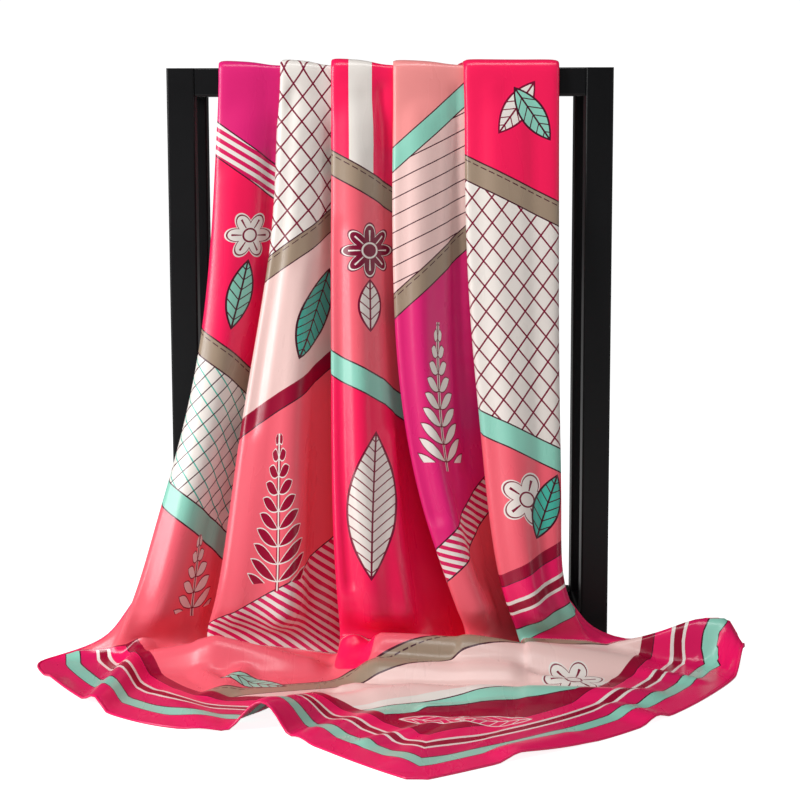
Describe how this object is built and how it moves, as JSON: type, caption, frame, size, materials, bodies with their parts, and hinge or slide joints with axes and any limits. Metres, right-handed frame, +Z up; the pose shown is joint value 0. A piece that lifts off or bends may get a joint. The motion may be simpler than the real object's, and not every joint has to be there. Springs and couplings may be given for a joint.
{
  "type": "silk square scarf draped over a display stand",
  "caption": "Square silk scarf folded over the top of a black box-frame display stand, its front corner spread on the floor.",
  "frame": {"origin": "underside of the stand's low front bar, at its middle, on the floor plane", "axes": "+X to the right seen from the front, +Y from the front of the stand to its rear, +Z up"},
  "size_m": [0.6322, 0.5441, 0.5386],
  "materials": {
    "stand": "satin black lacquer",
    "silk": "silk satin, printed"
  },
  "bodies": {
    "root": {"post_front_left": "stand", "post_front_right": "stand", "post_rear_left": "stand", "post_rear_right": "stand", "side_bar_top_left": "stand", "side_bar_top_right": "stand", "side_bar_low_left": "stand", "side_bar_low_right": "stand", "bar_top_front": "stand", "bar_top_rear": "stand", "bar_low_front": "stand", "bar_low_rear": "stand", "floor_pool": "silk", "front_folds": "silk", "top_run": "silk", "back_fall": "silk"}
  },
  "joints": []
}
